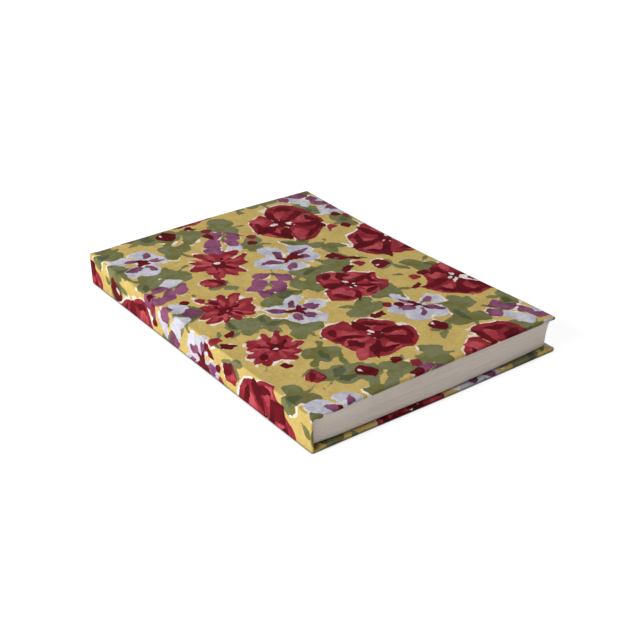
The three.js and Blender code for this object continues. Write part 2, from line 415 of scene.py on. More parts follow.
def berry(p, size, _):
    """Hips on fine stalks"""
    p.blade("green", (-1.4 * size, 0), 0.1, 1.8 * size, 0.35 * size)
    for x, y, layer in ((0.3, 0.1, "crimson"), (1.6, 1.0, "maroon"), (1.5, -1.1, "maroon")):
        hip = ((x * size, y * size), y, 1.7 * size, 1.3 * size, 1.0, 0.7)
        p.haloed(layer, *hip, grow=0.5, shift=(0.4, -0.5))


# Each motif's drawing, how many a repeat has, their sizes, and the room that one keeps, in sizes
MOTIFS = {
    "rose": (rose, 5, (17.0, 27.0), 0.95),
    "aster": (aster, 3, (14.0, 18.0), 0.95),
    "posy": (posy, 5, (15.0, 19.5), 0.85),
    "frond": (frond, 5, (12.5, 15.5), 0.8),
    "bud": (bud, 8, (8.0, 10.5), 1.0),
    "sprig": (sprig, 34, (11.5, 15.5), 0.52),
    "berry": (berry, 12, (3.6, 4.8), 1.2),
}


# How many columns and rows of repeats cover the cloth, either side of the middle one
COLUMNS = 3
ROWS = 2
# How many places are tried for a motif, the widest gap a rose seeks, and the least that others need
TRIES = 160
ROSE_GAP = 12.0
LEAST_GAP = -1.5


def repeats(centre):
    """Where a motif of the repeat falls on the cloth, every other column half a repeat further along"""
    for column in range(-COLUMNS, COLUMNS + 1):
        for row in range(-ROWS, ROWS + 1):
            s = centre[0] + column * REPEAT[0]
            t = centre[1] + row * REPEAT[1] + (column % 2) * REPEAT[1] / 2
            yield s, t


def layout():
    """The motifs of one repeat, big ones first, each in the room that the others leave: its name, centre,
    turn, size and seed"""
    rng = np.random.default_rng(PRINT_SEED)
    placed = []
    taken = np.zeros((0, 3))
    for name, (_, count, sizes, room) in MOTIFS.items():
        for _ in range(count):
            size = rng.uniform(*sizes)
            tries = rng.uniform((0, 0), REPEAT, (TRIES, 2))
            gaps = np.hypot(tries[:, None, 0] - taken[:, 0], tries[:, None, 1] - taken[:, 1])
            free = (gaps - taken[:, 2]).min(1, initial=np.inf) - room * size
            best = np.argmax(np.minimum(free, ROSE_GAP) if name == "rose" else free)
            if free[best] < LEAST_GAP and name != "rose":
                continue
            centre = tries[best]
            placed.append((name, centre, rng.uniform(0, math.tau), size, int(rng.integers(1 << 30))))
            taken = np.vstack([taken, [(*spot, room * size) for spot in repeats(centre)]])
    return placed


def printed(points):
    """The signed distances of every colour at these points of the cloth"""
    drawn = points.copy()
    for length, reach, number in HAND_WAVES:
        for axis in range(2):
            drawn[:, axis] += reach * waves(points, length, number + axis)
    p = Print(drawn)
    for name, centre, turn, size, number in layout():
        for spot in repeats(centre):
            if p.place(spot, turn, MOTIF_REACH * size):
                MOTIFS[name][0](p, size, np.random.default_rng(number))
    return p.fields


# The cloth of the case

# Heights of points on the spine, closer together towards the joint
SPINE_POINTS = (8.4, 7.3, 6.2, 5.1, 4.3, 3.8, 3.5, 3.3, 3.0, 2.6, 2.3)
# How many points go round a joint, how far others stay clear of it, and those near the cover's edge
JOINT_POINTS = 8
JOINT_MARGIN = 0.6
NEAR_COVER = (-0.35, -0.1, 0.15, 0.4)
# How far before the cover's edge the cloth starts to wrap its depth, and over what widths that and the
# front cover's thinning grow
DEPTH_LEAD = 1.6
DEPTH_CHANGE = 2.0
RIM_CHANGE = 4.0
# In how many steps the cloth goes half round an edge, and round a corner
WRAP_STEPS = 5
CORNER_STEPS = 6
# The valley in the cloth over a joint: how deep and wide it is, and how far before the cover's edge
VALLEY_DEPTH = 0.04
VALLEY_WIDTH = 1.1
VALLEY_LEAD = 0.8
# It is only in the cloth's outer side, which is below this height and nearer the spine than this
VALLEY_Z = 0.3
VALLEY_S = 20


def case_profile():
    """Half of the case's outside, at stations from the middle of the spine to the back cover's fore edge:
    x and z, the direction outwards, how deep the edge is there, and the length along the cloth"""
    spine = [(SPINE_X, z) for z in (TOP_Z / 2, *SPINE_POINTS)]
    centre = np.array((SPINE_X + JOINT_RADIUS, JOINT_RADIUS))
    turns = [(math.cos(a), math.sin(a)) for a in np.radians(np.linspace(180, 270, JOINT_POINTS))]
    corner = [tuple(centre + JOINT_RADIUS * np.array(turn)) for turn in turns]
    last = FORE_X - EDGE_RADIUS
    count = int((last - COVER_X - JOINT_MARGIN) / CLOTH_GRID) + 1
    grid = [last - k * CLOTH_GRID for k in range(count)][::-1]
    joint = [*np.linspace(SPINE_X + JOINT_RADIUS + JOINT_MARGIN, COVER_X - JOINT_MARGIN, 3)]
    joint += [COVER_X + gap for gap in NEAR_COVER]
    flat = [(x, 0.0) for x in joint + grid]
    line = np.array(spine + corner + flat)
    out = np.array([(-1, 0)] * len(spine) + turns + [(0, -1)] * len(flat))
    from_cover = line[:, 0] - COVER_X
    depth = SPINE_DEPTH + (COVER_DEPTH - SPINE_DEPTH) * smooth((from_cover + DEPTH_LEAD) / DEPTH_CHANGE)
    along = np.concatenate([[0], np.cumsum(np.hypot(*np.diff(line, axis=0).T))])
    return line, out, depth, along


def wrapped(depth):
    """Round an edge of this depth: how far out, how deep and how far along the cloth"""
    turn = np.radians(np.linspace(90, 0, WRAP_STEPS + 1))
    radius = min(EDGE_RADIUS, depth / 2)
    out = EDGE_RADIUS * np.cos(turn)
    deep = radius * (1 - np.sin(turn))
    out = np.append(out, out[::-1])
    deep = np.append(deep, depth - deep[::-1])
    along = np.append(0, np.cumsum(np.hypot(np.diff(out), np.diff(deep))))
    return out, deep, along


def edge_walk(stations, lines):
    """The way round a cover's edge, in steps of a station, a line and the cloth's direction outwards"""
    turns = np.radians(np.linspace(0, 90, CORNER_STEPS + 1))[1:]
    reach = 1 + CORNER_POINT * np.sin(2 * turns)
    corner = list(zip(reach * np.cos(turns), reach * np.sin(turns)))
    walk = [(i, 0, 0, -1) for i in range(stations)]
    walk += [(stations - 1, 0, b, -a) for a, b in corner]
    walk += [(stations - 1, j, 1, 0) for j in range(1, lines)]
    walk += [(stations - 1, lines - 1, a, b) for a, b in corner]
    walk += [(i, lines - 1, 0, 1) for i in range(stations - 2, -1, -1)]
    return walk


def quads(a, b, c, d):
    """Faces from four grids of points, but for those that lack a corner"""
    found = np.stack([a, b, c, d], -1).reshape(-1, 4)
    return found[(found >= 0).all(1)]


def rest_shape(verts, sheet):
    """How glued cloth settles: a trace of a valley over each joint, where nothing lies under it"""
    verts = verts.copy()
    x, _, z = verts.T
    valley = VALLEY_DEPTH * np.exp(-(((x - COVER_X + VALLEY_LEAD) / VALLEY_WIDTH) ** 2))
    z += valley * (z < VALLEY_Z) * (sheet[:, 0] < VALLEY_S)
    return verts


def case_cloth(name, front, material):
    """Cloth from the middle of the spine, round a joint, over a cover and in over its edges"""
    line, out, depth, along = case_profile()
    flat_y = END_Y - EDGE_RADIUS
    rows = np.linspace(-flat_y, flat_y, round(2 * flat_y / CLOTH_GRID) + 1)
    stations, lines = len(line), len(rows)
    verts, sheet = [], []

    def point(station, y, outwards, deeper, along_x, s, t):
        """Adds a point of the cloth beside a station and returns its number"""
        tangent = np.array((-out[station][1], out[station][0]))
        x, z = line[station] - out[station] * deeper + tangent * along_x
        verts.append((x, y + outwards, z))
        sheet.append((s, t, 0.0))
        return len(verts) - 1

    outer = np.zeros((stations, lines), int)
    inner = -np.ones((stations, lines), int)
    turned = round(TURN_IN / CLOTH_GRID) - 1
    rim = depth - (RIM_THINNING if front else 0) * smooth((line[:, 0] - COVER_X) / RIM_CHANGE)
    ends = [wrapped(rim[i])[2][-1] for i in range(stations)]
    for i in range(stations):
        for j in range(lines):
            outer[i, j] = point(i, rows[j], 0, 0, 0, along[i], rows[j])
            from_end = min(j, lines - 1 - j)
            from_fore = stations - 1 - i
            if min(from_end, from_fore) > turned:
                continue
            side = -1 if j < lines - 1 - j else 1
            if from_end <= from_fore:
                st = (along[i], side * (flat_y + ends[i] + from_end * CLOTH_GRID))
            else:
                st = (along[-1] + ends[-1] + from_fore * CLOTH_GRID, rows[j])
            inside = smooth(min(from_end, from_fore) * CLOTH_GRID / RIM_WIDTH)
            deep = rim[i] + (depth[i] - rim[i]) * inside
            inner[i, j] = point(i, rows[j], 0, deep, 0, *st)

    rings = []
    for i, j, way_x, way_y in edge_walk(stations, lines):
        away, deep, length = wrapped(rim[i])
        ring = [outer[i, j]]
        for k in range(1, len(away) - 1):
            s, t = along[i] + way_x * length[k], rows[j] + way_y * length[k]
            ring.append(point(i, rows[j], way_y * away[k], deep[k], way_x * away[k], s, t))
        ring.append(inner[i, j])
        rings.append(ring)
    rings = np.array(rings)
    faces = [
        quads(outer[:-1, :-1], outer[:-1, 1:], outer[1:, 1:], outer[1:, :-1]),
        quads(inner[:-1, :-1], inner[1:, :-1], inner[1:, 1:], inner[:-1, 1:]),
        quads(rings[:-1, :-1], rings[1:, :-1], rings[1:, 1:], rings[:-1, 1:]),
    ]
    faces = np.concatenate(faces)
    if front:
        faces = faces[:, ::-1]
    faces = [list(dict.fromkeys(face)) for face in faces.tolist()]
    faces = [face for face in faces if len(face) > 2]
    verts, sheet = np.array(verts), np.array(sheet)
    verts = rest_shape(verts, sheet)
    if front:
        verts[:, 2] = TOP_Z - verts[:, 2]
        verts = front_shape(verts)
    else:
        verts = back_shape(verts)
        sheet[:, 0] *= -1
    used = np.zeros(len(verts), bool)
    used[[v for face in faces for v in face]] = True
    renumbered = np.cumsum(used) - 1
    faces = [[int(renumbered[v]) for v in face] for face in faces]
    fields = printed(sheet[:, :2])
    layers = {"sheet": sheet[used]}
    for number, three in enumerate(LAYERS):
        layers[f"print_{number}"] = np.stack([fields[ink] for ink in three], 1)[used]
    piece = make(name, verts[used], faces, material, "cover_cloth", None, sharp=False, **layers)
    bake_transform(piece)
    return piece


# Paper and boards

# How far in the block's tail is, by place across it, and how far out its fore edge is, by height
TAIL_INSET = [(-75, 1.7), (-60, 0.55), (-23, -0.1), (0, -0.75), (41, 0.15), (55, 0.5), (67, 1.0), (75, 1.5)]
FORE_REACH = [(2.6, -0.75), (4.6, -0.65), (11.5, -0.3), (14.1, -0.05), (14.9, 0.2), (16.4, 0.4)]
# The head's share of the tail's inset, and between which places it and the fore edge's reach set in
HEAD_SHARE = 0.4
END_TRIM = (90.0, 105.0)
FORE_TRIM = (55.0, 74.0)
# How deep a section's fold is rounded and how far that reaches, and how far sections gape towards the fold
FOLD_DEPTH = 1.1
FOLD_REACH = 2.4
GAPE = 0.17
GAPE_REACH = 9.0
# How far apart points of paper are, and how near a leaf's, a kerf's and a section's edges there are more
PAPER_GRID = 4
EDGE_POINT = 1
KERF_EDGE = 0.05
CUT_EDGE = 0.4
# How far from the fold a section's first points are
FOLD_POINTS = (0, 0.12, 0.35, KERF_DEPTH + KERF_EDGE, 1.6, FOLD_REACH, 3.2)
# How unevenly leaves are cut: each by itself, each section, the groove between two leaves, and slow streaks
LEAF_JITTER = 0.014
SECTION_JITTER = 0.012
LEAF_GROOVE = 0.015
STREAK = 0.05
STREAK_LENGTH = 60
STREAK_SEED = 5
# How far apart leaves and sections are in those waves, so that each has its own
LEAF_STEP = 40.0
SECTION_STEP = 333.0
# How far a section may lie back from the others at the fold
SECTION_SHIFT = 0.15
# A single sheet: how far past the fold it starts, its points and rows of points, and how its edges waver
SHEET_START = 0.05
SHEET_POINTS = (0, 0.6, 1.2, 1.8, 2.6, 3.6, 5, 7, 9, 12, 16, 20)
SHEET_ROWS = 55
WAVER = 0.12
WAVER_LENGTH = 55
WAVER_EDGE = 6.0
WAVER_REACH = 40.0
WAVER_END_SHARE = 0.4
# A pastedown ends this far inside the cover's edge, and sinks this deep inside the frame of turned-in cloth
PASTED_MARGIN = 4.2
PASTED_DEPTH = 0.27
# How wide the slope down is, and how far before the turned-in cloth's edge it starts
SINK_SLOPE = 2.0
SINK_LEAD = 0.5
# How much less it sinks over the gauze, how far past it that starts, and how wide those slopes are
GAUZE_SHARE = 0.75
GAUZE_MARGIN = 1.0
GAUZE_SLOPE = 1.5
# How far apart a board's points are
PLATE_GRID = 5


def trimmed(verts):
    """Moves the edges of paper as the block's trimmed faces bulge: the tail and head by where along them,
    the fore edge by how high"""
    verts = verts.copy()
    x, y, z = verts.T
    share = (1 - height_in_block(z) ** 2) * ramp(np.abs(y), *END_TRIM)
    inset = follow(TAIL_INSET, x) * share
    head_inset = HEAD_SHARE * follow(TAIL_INSET, -x) * share
    y += np.where(y < 0, inset, -head_inset)
    x += follow(FORE_REACH, z) * ramp(x, *FORE_TRIM)
    return verts


def section(name, material):
    """Folded sheets: round at the fold, notched for the thread, and on the cut sides a ridge for each
    leaf's edge"""
    low, high = cad(name)
    leaves = round((high[2] - low[2]) / LEAF)
    zs = np.linspace(low[2], high[2], 2 * leaves + 1)
    fold = (high[2] - low[2]) / 2
    across = np.arange(PAPER_GRID + EDGE_POINT, LEAF_WIDTH - EDGE_POINT, PAPER_GRID)
    near_fold = sorted((*FOLD_POINTS, fold))
    xs = FOLD_X + np.concatenate([near_fold, across, [LEAF_WIDTH - CUT_EDGE, LEAF_WIDTH]])
    notch = KERF_WIDTH / 2
    ys = [-LEAF_Y, *np.arange(EDGE_POINT - LEAF_Y, LEAF_Y, PAPER_GRID), LEAF_Y]
    beside_edge = [side * (notch + gap) for side in (-1, 1) for gap in (-KERF_EDGE, KERF_EDGE)]
    ys += [at + gap for at in SEWING_STATIONS for gap in beside_edge]
    ys.sort()
    verts, faces, places = shell(xs, ys, zs)
    seed = int(name[-2:])
    rng = np.random.default_rng(seed)
    # One row for each cut side, and a fourth that only keeps the later draws in order
    jitter = rng.normal(0, LEAF_JITTER, (4, leaves)) + rng.normal(0, SECTION_JITTER, (4, 1))
    leaf = np.clip((places[:, 2] - 0.5) / 2, 0, leaves - 1).astype(int)
    groove = LEAF_GROOVE * (places[:, 2] % 2 == 0)
    x, y, z = verts.T
    height = (z - low[2] - fold) / fold
    round_fold = FOLD_DEPTH * (1 - np.sqrt(np.clip(1 - height**2, 0, 1)))
    near = np.clip(1 - (x - FOLD_X) / FOLD_REACH, 0, 1)
    x += (round_fold + rng.uniform(0, SECTION_SHIFT)) * near
    # Towards the fold the section draws in at either side, which leaves dark gaps between sections
    gape = np.where(height > 0, *rng.uniform(0, GAPE, 2)) * smooth(1 - (x - FOLD_X) / GAPE_REACH)
    z -= height * gape
    in_kerf = (np.abs(y[:, None] - SEWING_STATIONS) < notch).any(1)
    x[in_kerf] = np.maximum(x[in_kerf], FOLD_X + KERF_DEPTH)
    at = np.stack([x + y, leaf * LEAF_STEP + seed * SECTION_STEP], 1)
    streak = STREAK * waves(at, STREAK_LENGTH, STREAK_SEED)
    for axis, end, row in ((0, -1, 0), (1, 0, 1), (1, -1, 2)):
        at_end = places[:, axis] == (places[:, axis].max() if end else 0)
        sign = 1 if end else -1
        verts[at_end, axis] += sign * (jitter[row, leaf] - groove + streak)[at_end]
    return make(name + "_leaves", bent(trimmed(verts)), faces, material, "book_paper", "text_block")


def paper(name, node, material, slot, body, seed, settle=bent):
    """One sheet of paper in the place of a CAD node: a leaf, or a pastedown that sinks to its cover"""
    low, high = cad(node)
    is_pastedown = "pastedown" in node
    if is_pastedown:
        high[0] = min(high[0], FORE_X - PASTED_MARGIN)
        high[1] = min(high[1], END_Y - PASTED_MARGIN)
        low[1] = -high[1]
    else:
        low[0] = FOLD_X + SHEET_START
    near = low[0] + np.array(SHEET_POINTS)
    beyond = np.arange(near[-1] + PAPER_GRID, high[0] - 2 * EDGE_POINT, PAPER_GRID)
    xs = np.concatenate([near, beyond, [high[0] - EDGE_POINT, high[0]]])
    ys = np.linspace(low[1], high[1], SHEET_ROWS)
    verts, faces, _ = shell(xs, ys, (low[2], high[2]))
    x, y, z = verts.T
    waver = WAVER * waves(verts[:, :2], WAVER_LENGTH, seed)
    reach = np.clip((x - FOLD_X) / WAVER_REACH, 0, 1)
    x += waver * smooth((x - high[0] + WAVER_EDGE) / WAVER_EDGE)
    y += WAVER_END_SHARE * waver * reach
    if is_pastedown:
        z += sunk(x, y) * (1 if body == "front_cover" else -1)
    else:
        verts = trimmed(verts)
    return make(name, settle(verts), faces, material, slot, body)


def sunk(x, y):
    """How deep a pastedown sinks inside the frame of turned-in cloth, less where the gauze lies under it"""
    inset = np.minimum(FORE_X - x, END_Y - np.abs(y))
    inside = smooth((inset - TURN_IN + SINK_LEAD) / SINK_SLOPE)
    end_x, end_y = cad("back_mull_flange")[1][:2] + GAUZE_MARGIN
    gauze = smooth((end_x - x) / GAUZE_SLOPE) * smooth((end_y - np.abs(y)) / GAUZE_SLOPE)
    fold = smooth((x - COVER_X) / GAUZE_SLOPE)
    return PASTED_DEPTH * inside * (1 - GAUZE_SHARE * gauze) * fold


def plate_points(low, high, rounding):
    """Places across a plate, of which the outer two at either side bound its rounded edge"""
    inner = np.linspace(low + rounding, high - rounding, 2 + round((high - low) / PLATE_GRID))
    return [low, *inner, high]


def plate(name, node, material, slot, rounding, body, settle):
    """A board or strip in the place of a CAD node, fine enough to bend, with its edges rounded"""
    low, high = cad(node)
    xs = plate_points(low[0], high[0], rounding)
    ys = plate_points(low[1], high[1], rounding)
    verts, faces, places = shell(xs, ys, (low[2], high[2]))
    rim = (places[:, 0] == len(xs) - 1) | (places[:, 1] == 0) | (places[:, 1] == len(ys) - 1)
    middle = (low[2] + high[2]) / 2
    thinner = middle + (verts[:, 2] - middle) * (1 - rounding / (high[2] - middle))
    verts[:, 2] = np.where(rim, thinner, verts[:, 2])
    return make(name, settle(verts), faces, material, slot, body)


# Materials


def colour(red, green, blue):
    """A colour of 0 to 255 as the renderer's linear one"""
    shares = [c / 255 for c in (red, green, blue)]
    linear = [((c + 0.055) / 1.055) ** 2.4 if c > 0.04045 else c / 12.92 for c in shares]
    return (*linear, 1)


class Nodes:
    """Shading made node by node. An input is a number, a vector, or another node's output."""

    def __init__(self, tree):
        self.tree = tree

    def set(self, node, inputs):
        """Sets a node's inputs, by name or number, to values or to other nodes' outputs"""
        for key, value in inputs.items():
            socket = node.inputs[key if isinstance(key, int) else key.replace("_", " ")]
            if isinstance(value, bpy.types.NodeSocket):
                self.tree.links.new(value, socket)
            else:
                socket.default_value = value

    def node(self, kind, inputs=None, **settings):
        made = self.tree.nodes.new("ShaderNode" + kind)
        for key, value in settings.items():
            setattr(made, key, value)
        self.set(made, inputs or {})
        return made

    def times(self, *values):
        return self.math("MULTIPLY", *values)

    def math(self, operation, *values):
        return self.node("Math", dict(enumerate(values)), operation=operation).outputs[0]

    def vector(self, operation, *values):
        made = self.node("VectorMath", dict(enumerate(values)), operation=operation)
        return made.outputs["Value" if operation == "LENGTH" else "Vector"]

    def noise(self, at, scale, detail=2.0, roughness=0.5):
        """Random cloudiness of this many waves in a unit: a number first, then a vector"""
        inputs = {"Vector": at, "Scale": scale, "Detail": detail, "Roughness": roughness}
        return self.node("TexNoise", inputs).outputs

    def remap(self, value, low, high, to_low=0.0, to_high=1.0):
        """Goes smoothly from one number to another as the value rises from low to high"""
        inputs = {0: value, 1: low, 2: high, 3: to_low, 4: to_high}
        return self.node("MapRange", inputs, interpolation_type="SMOOTHSTEP").outputs[0]

    def mix(self, share, first, second, blend="MIX"):
        """The first colour with this share of the second"""
        made = self.node("Mix", data_type="RGBA", blend_type=blend)
        self.set(made, {0: share, 6: first, 7: second})
        return made.outputs[2]

    def scaled(self, shade, level):
        """A shade with its three parts times the same level"""
        grey = self.node("CombineXYZ", {axis: level for axis in range(3)}).outputs[0]
        return self.mix(1.0, shade, grey, "MULTIPLY")

    def millimetres(self):
        """Where a point is on its object, in millimetres"""
        return self.vector("MULTIPLY", self.node("TexCoord").outputs["Object"], (1 / MM,) * 3)

    def attribute(self, name):
        return self.node("Attribute", attribute_name=name).outputs["Vector"]


class Shader(Nodes):
    """A material and its surface"""

    def __init__(self, name, **surface):
        self.material = bpy.data.materials.new(name)
        self.material.use_nodes = True
        super().__init__(self.material.node_tree)
        self.surface = self.tree.nodes["Principled BSDF"]
        self.set(self.surface, surface)

    def finished(self, shade, height, strength, distance):
        """The material in this shade. Its relief is as high as the distance in metres where height is 1."""
        relief = self.node("Bump", {"Strength": strength, "Distance": distance, "Height": height})
        self.set(self.surface, {"Base Color": shade, "Normal": relief.outputs[0]})
        return self.material


# The two tones that each ink runs between
INKS = {
    "halo": ((228, 210, 188), (239, 226, 219)),
    "green": ((108, 106, 58), (120, 122, 87)),
    "moss": ((78, 84, 48), (88, 94, 72)),
    "lilac": ((177, 177, 193), (207, 205, 212)),
    "mauve": ((118, 62, 92), (145, 86, 118)),
    "crimson": ((126, 30, 42), (150, 46, 56)),
    "rose": ((160, 54, 64), (186, 80, 88)),
    "maroon": ((77, 5, 15), (101, 13, 25)),
    "cream": ((224, 200, 196), (240, 230, 224)),
}
# Pairs whose overlap prints darker, and by how much
OVERPRINTS = (
    ("green", "mauve", 0.4),
    ("green", "crimson", 0.3),
    ("lilac", "mauve", 0.12),
    ("moss", "maroon", 0.3),
)
OVERPRINT_TONE = (52, 34, 34)
# The two tones of the cloth's ground
GROUND_TONES = ((191, 165, 96), (205, 179, 107))
# Half the width over which an ink ends, and how its edge wanders, fast and slowly: the noise's scale,
# detail and roughness, and how far it reaches
INK_EDGE = 0.22
WANDERS = ((0.75, 3.0, 0.6, 1.7), (0.16, 2.0, 0.5, 5.5))
# How far apart the cloth's threads are in millimetres, and in metres how high they stand and how far
# the painted shade in creases reaches
COTTON_PITCH = 0.52
COTTON_RELIEF = 0.00012
PAINTED_CREASE_REACH = 0.004
# How many rays look for the open sky, and between what noise mostly lies
SKY_RAYS = 8
NOISE_RANGE = (0.3, 0.7)
# How far threads drift in millimetres, and how fast slubs change along a thread and across it
THREAD_DRIFT = 1.6
SLUBS = ((0.05, 2.2, 1), (2.2, 0.05, 1))
# How fast the lines on cut paper change in each direction
FINE_LINES = (0.035, 0.035, 5.5)
BROAD_LINES = (0.02, 0.02, 0.8)


def printed_cloth():
    """Plain-woven cotton with the print, whose edges wander as hand-cut blocks leave them"""
    m = Shader("printed_cotton", Roughness=0.88, Specular_IOR_Level=0.08)
    at = m.attribute("sheet")
    wander = (0, 0, 0)
    for scale, detail, roughness, reach in WANDERS:
        centred = m.vector("SUBTRACT", m.noise(at, scale, detail, roughness)[1], (0.5, 0.5, 0.5))
        wander = m.vector("MULTIPLY_ADD", centred, (reach,) * 3, wander)
    mottle = m.noise(at, 0.09, detail=4.0, roughness=0.6)[0]
    grain = m.noise(at, 2.6, roughness=0.7)[0]
    shade = m.mix(m.remap(mottle, *NOISE_RANGE), *(colour(*tone) for tone in GROUND_TONES))
    worn = m.remap(grain, 0.6, 0.8, 1.0, 0.8)
    wash = m.node("SeparateXYZ", {0: m.noise(at, 0.1, detail=4.0, roughness=0.6)[1]}).outputs
    covers = {}
    for number, three in enumerate(LAYERS):
        field = m.vector("ADD", m.attribute(f"print_{number}"), wander)
        parts = list(m.node("SeparateXYZ", {0: field}).outputs)
        for channel, ink in enumerate(three):
            if ink == "halo":
                patchy = m.remap(wash[1], 0.38, 0.6, -0.4, 2.2)
                parts[channel] = m.math("ADD", parts[channel], patchy)
            covers[ink] = m.times(m.remap(parts[channel], -INK_EDGE, INK_EDGE, 1.0, 0.0), worn)
            thin, full = (colour(*tone) for tone in INKS[ink])
            shade = m.mix(covers[ink], shade, m.mix(m.remap(wash[channel], 0.36, 0.64), thin, full))
    for under, over, strength in OVERPRINTS:
        both = m.times(m.times(covers[under], covers[over]), strength)
        shade = m.mix(both, shade, colour(*OVERPRINT_TONE))
    density = m.remap(m.noise(at, 0.55, detail=4.0, roughness=0.7)[0], *NOISE_RANGE, 0.89, 1.09)
    # The thread level is partly the threads' own uneven tone and partly painted shade, darker low in the
    # weave and lighter on its crowns
    weave, thread = woven(m, at, COTTON_PITCH)
    # Painted shade: the print is darkened where little sky is open within a few millimetres, in creases and
    # under the block
    open_sky = m.node("AmbientOcclusion", {"Distance": PAINTED_CREASE_REACH}, samples=SKY_RAYS).outputs["AO"]
    painted_crease_shade = m.remap(open_sky, 0.45, 0.85, 0.4, 1.0)
    for level in (density, thread, painted_crease_shade):
        shade = m.scaled(shade, level)
    return m.finished(shade, weave, strength=0.55, distance=COTTON_RELIEF)


def woven(m, at, pitch):
    """Height and shade of a plain weave of uneven threads, this far apart in millimetres. The shade is
    partly the threads' own uneven tone and partly painted shade, darker in the weave's low places and
    lighter on its crowns.
    """
    moved = m.vector("MULTIPLY_ADD", m.noise(at, 0.12)[1], (THREAD_DRIFT, THREAD_DRIFT, 0), at)
    parts = m.node("SeparateXYZ", {0: moved}).outputs
    turns = [m.times(parts[k], math.pi / pitch) for k in range(2)]
    over = m.times(m.math("SINE", turns[0]), m.math("SINE", turns[1]))
    slubs = [m.noise(m.vector("MULTIPLY", at, stretch), 1.0, detail=1.0)[0] for stretch in SLUBS]
    height = m.math("MULTIPLY_ADD", over, 0.5, m.math("ADD", *slubs))
    shade = m.remap(height, 0.4, 1.6, 0.86, 1.08)
    return height, shade


def paper_material(name, tone, lines=0.0):
    """Uncoated paper. lines is how strongly the cut leaves show as fine lines across it."""
    m = Shader(name, Roughness=0.86, Specular_IOR_Level=0.25)
    at = m.millimetres()
    fibre = m.noise(at, 0.9, detail=4.0, roughness=0.65)[0]
    cloud = m.noise(at, 0.05, detail=3.0)[0]
    fibres = m.remap(fibre, *NOISE_RANGE, 0.975, 1.015)
    level = m.times(fibres, m.remap(cloud, *NOISE_RANGE, 0.975, 1.01))
    if lines > 0:
        fine = m.noise(m.vector("MULTIPLY", at, FINE_LINES), 1.0, roughness=0.6)[0]
        broad = m.noise(m.vector("MULTIPLY", at, BROAD_LINES), 1.0, detail=3.0, roughness=0.6)[0]
        fine = m.remap(fine, 0.25, 0.75, 1 - lines, 1.0)
        broad = m.remap(broad, *NOISE_RANGE, 1 - lines / 2, 1.0)
        level = m.times(level, m.times(fine, broad))
    return m.finished(m.scaled(colour(*tone), level), fibre, strength=0.25, distance=0.00005)


def board_material():
    """Raw grey board: pressed fibres with dark and light flecks"""
    m = Shader("raw_grey_board", Roughness=0.95)
    at = m.millimetres()
    fleck = m.noise(at, 1.6, detail=4.0, roughness=0.75)[0]
    layers = m.noise(m.vector("MULTIPLY", at, (0.1, 0.1, 6)), 1.0)[0]
    shade = m.mix(m.remap(fleck, 0.35, 0.7), colour(122, 116, 106), colour(160, 153, 141))
    shade = m.mix(m.remap(layers, 0.4, 0.7, 0.0, 0.3), shade, colour(104, 98, 90))
    return m.finished(shade, fleck, strength=0.4, distance=0.0001)


def strip_material(name, light, dark, pitch, axes, roughness):
    """Gauze, kraft paper or thread: two tones, and fibres this far apart along two axes of the part"""
    m = Shader(name, Roughness=roughness)
    parts = m.node("SeparateXYZ", {0: m.millimetres()}).outputs
    flat = m.node("CombineXYZ", {k: parts[axis] for k, axis in enumerate(axes)}).outputs[0]
    height, _ = woven(m, flat, pitch)
    shade = m.mix(m.remap(height, 0.5, 1.5), colour(*dark), colour(*light))
    return m.finished(shade, height, strength=0.6, distance=0.0001)


# The notebook

# How far in the edges of the boards and the gauze are rounded
BOARD_ROUNDING = 0.6
FLANGE_ROUNDING = 0.05
# The seeds of the sheets' wavering edges: pastedowns, back flyleaf, and the first sheet that turns
PASTED_SEED, FLYLEAF_SEED, TURNING_SEED = 3, 4, 5
# The sheets that turn, each with how far from the fold it would still bend, a number that is not used
TURNING = {"front_flyleaf": 10, "leaf_1": 25, "leaf_2": 60, "leaf_3": 80}

cotton = printed_cloth()
leaf_edges = paper_material("cut_book_paper", (229, 217, 206), lines=0.045)
leaf_paper = paper_material("book_paper_leaf", (222, 212, 199))
end_paper = paper_material("endpaper_sheet", (224, 215, 201))
grey_board = board_material()
gauze_looks = ((233, 228, 216), (170, 162, 146), 1.1)
kraft_looks = ((186, 148, 102), (160, 122, 80), 0.35)
thread_looks = ((242, 236, 222), (196, 186, 166), 0.4)
gauze = strip_material("starched_gauze", *gauze_looks, axes=(1, 2), roughness=0.95)
flat_gauze = strip_material("starched_gauze_flange", *gauze_looks, axes=(0, 1), roughness=0.95)
kraft = strip_material("kraft_paper", *kraft_looks, axes=(1, 2), roughness=0.9)
thread = strip_material("linen_thread", *thread_looks, axes=(1, 2), roughness=0.85)

front_cloth = case_cloth("front_case_cloth", True, cotton)
back_cloth = case_cloth("back_case_cloth", False, cotton)
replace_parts(front_cloth, "front_cloth", "front_joint_cloth", "spine_cloth")
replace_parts(back_cloth, "back_cloth", "back_joint_cloth", "spine_cloth")

board = (grey_board, "grey_board", BOARD_ROUNDING)
front_board = plate("front_cover_board", "front_board", *board, "front_cover", front_shape)
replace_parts(front_board, "front_board")
back_board = plate("back_cover_board", "back_board", *board, "back_cover", back_shape)
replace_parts(back_board, "back_board")
flange = (flat_gauze, "gauze", FLANGE_ROUNDING)
front_flange = plate("front_gauze_flange", "front_mull_flange", *flange, "front_cover", bent)
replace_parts(front_flange, "front_mull_flange")

for number in range(1, 11):
    node = f"section_{number:02d}"
    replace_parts(section(node, leaf_edges), node)

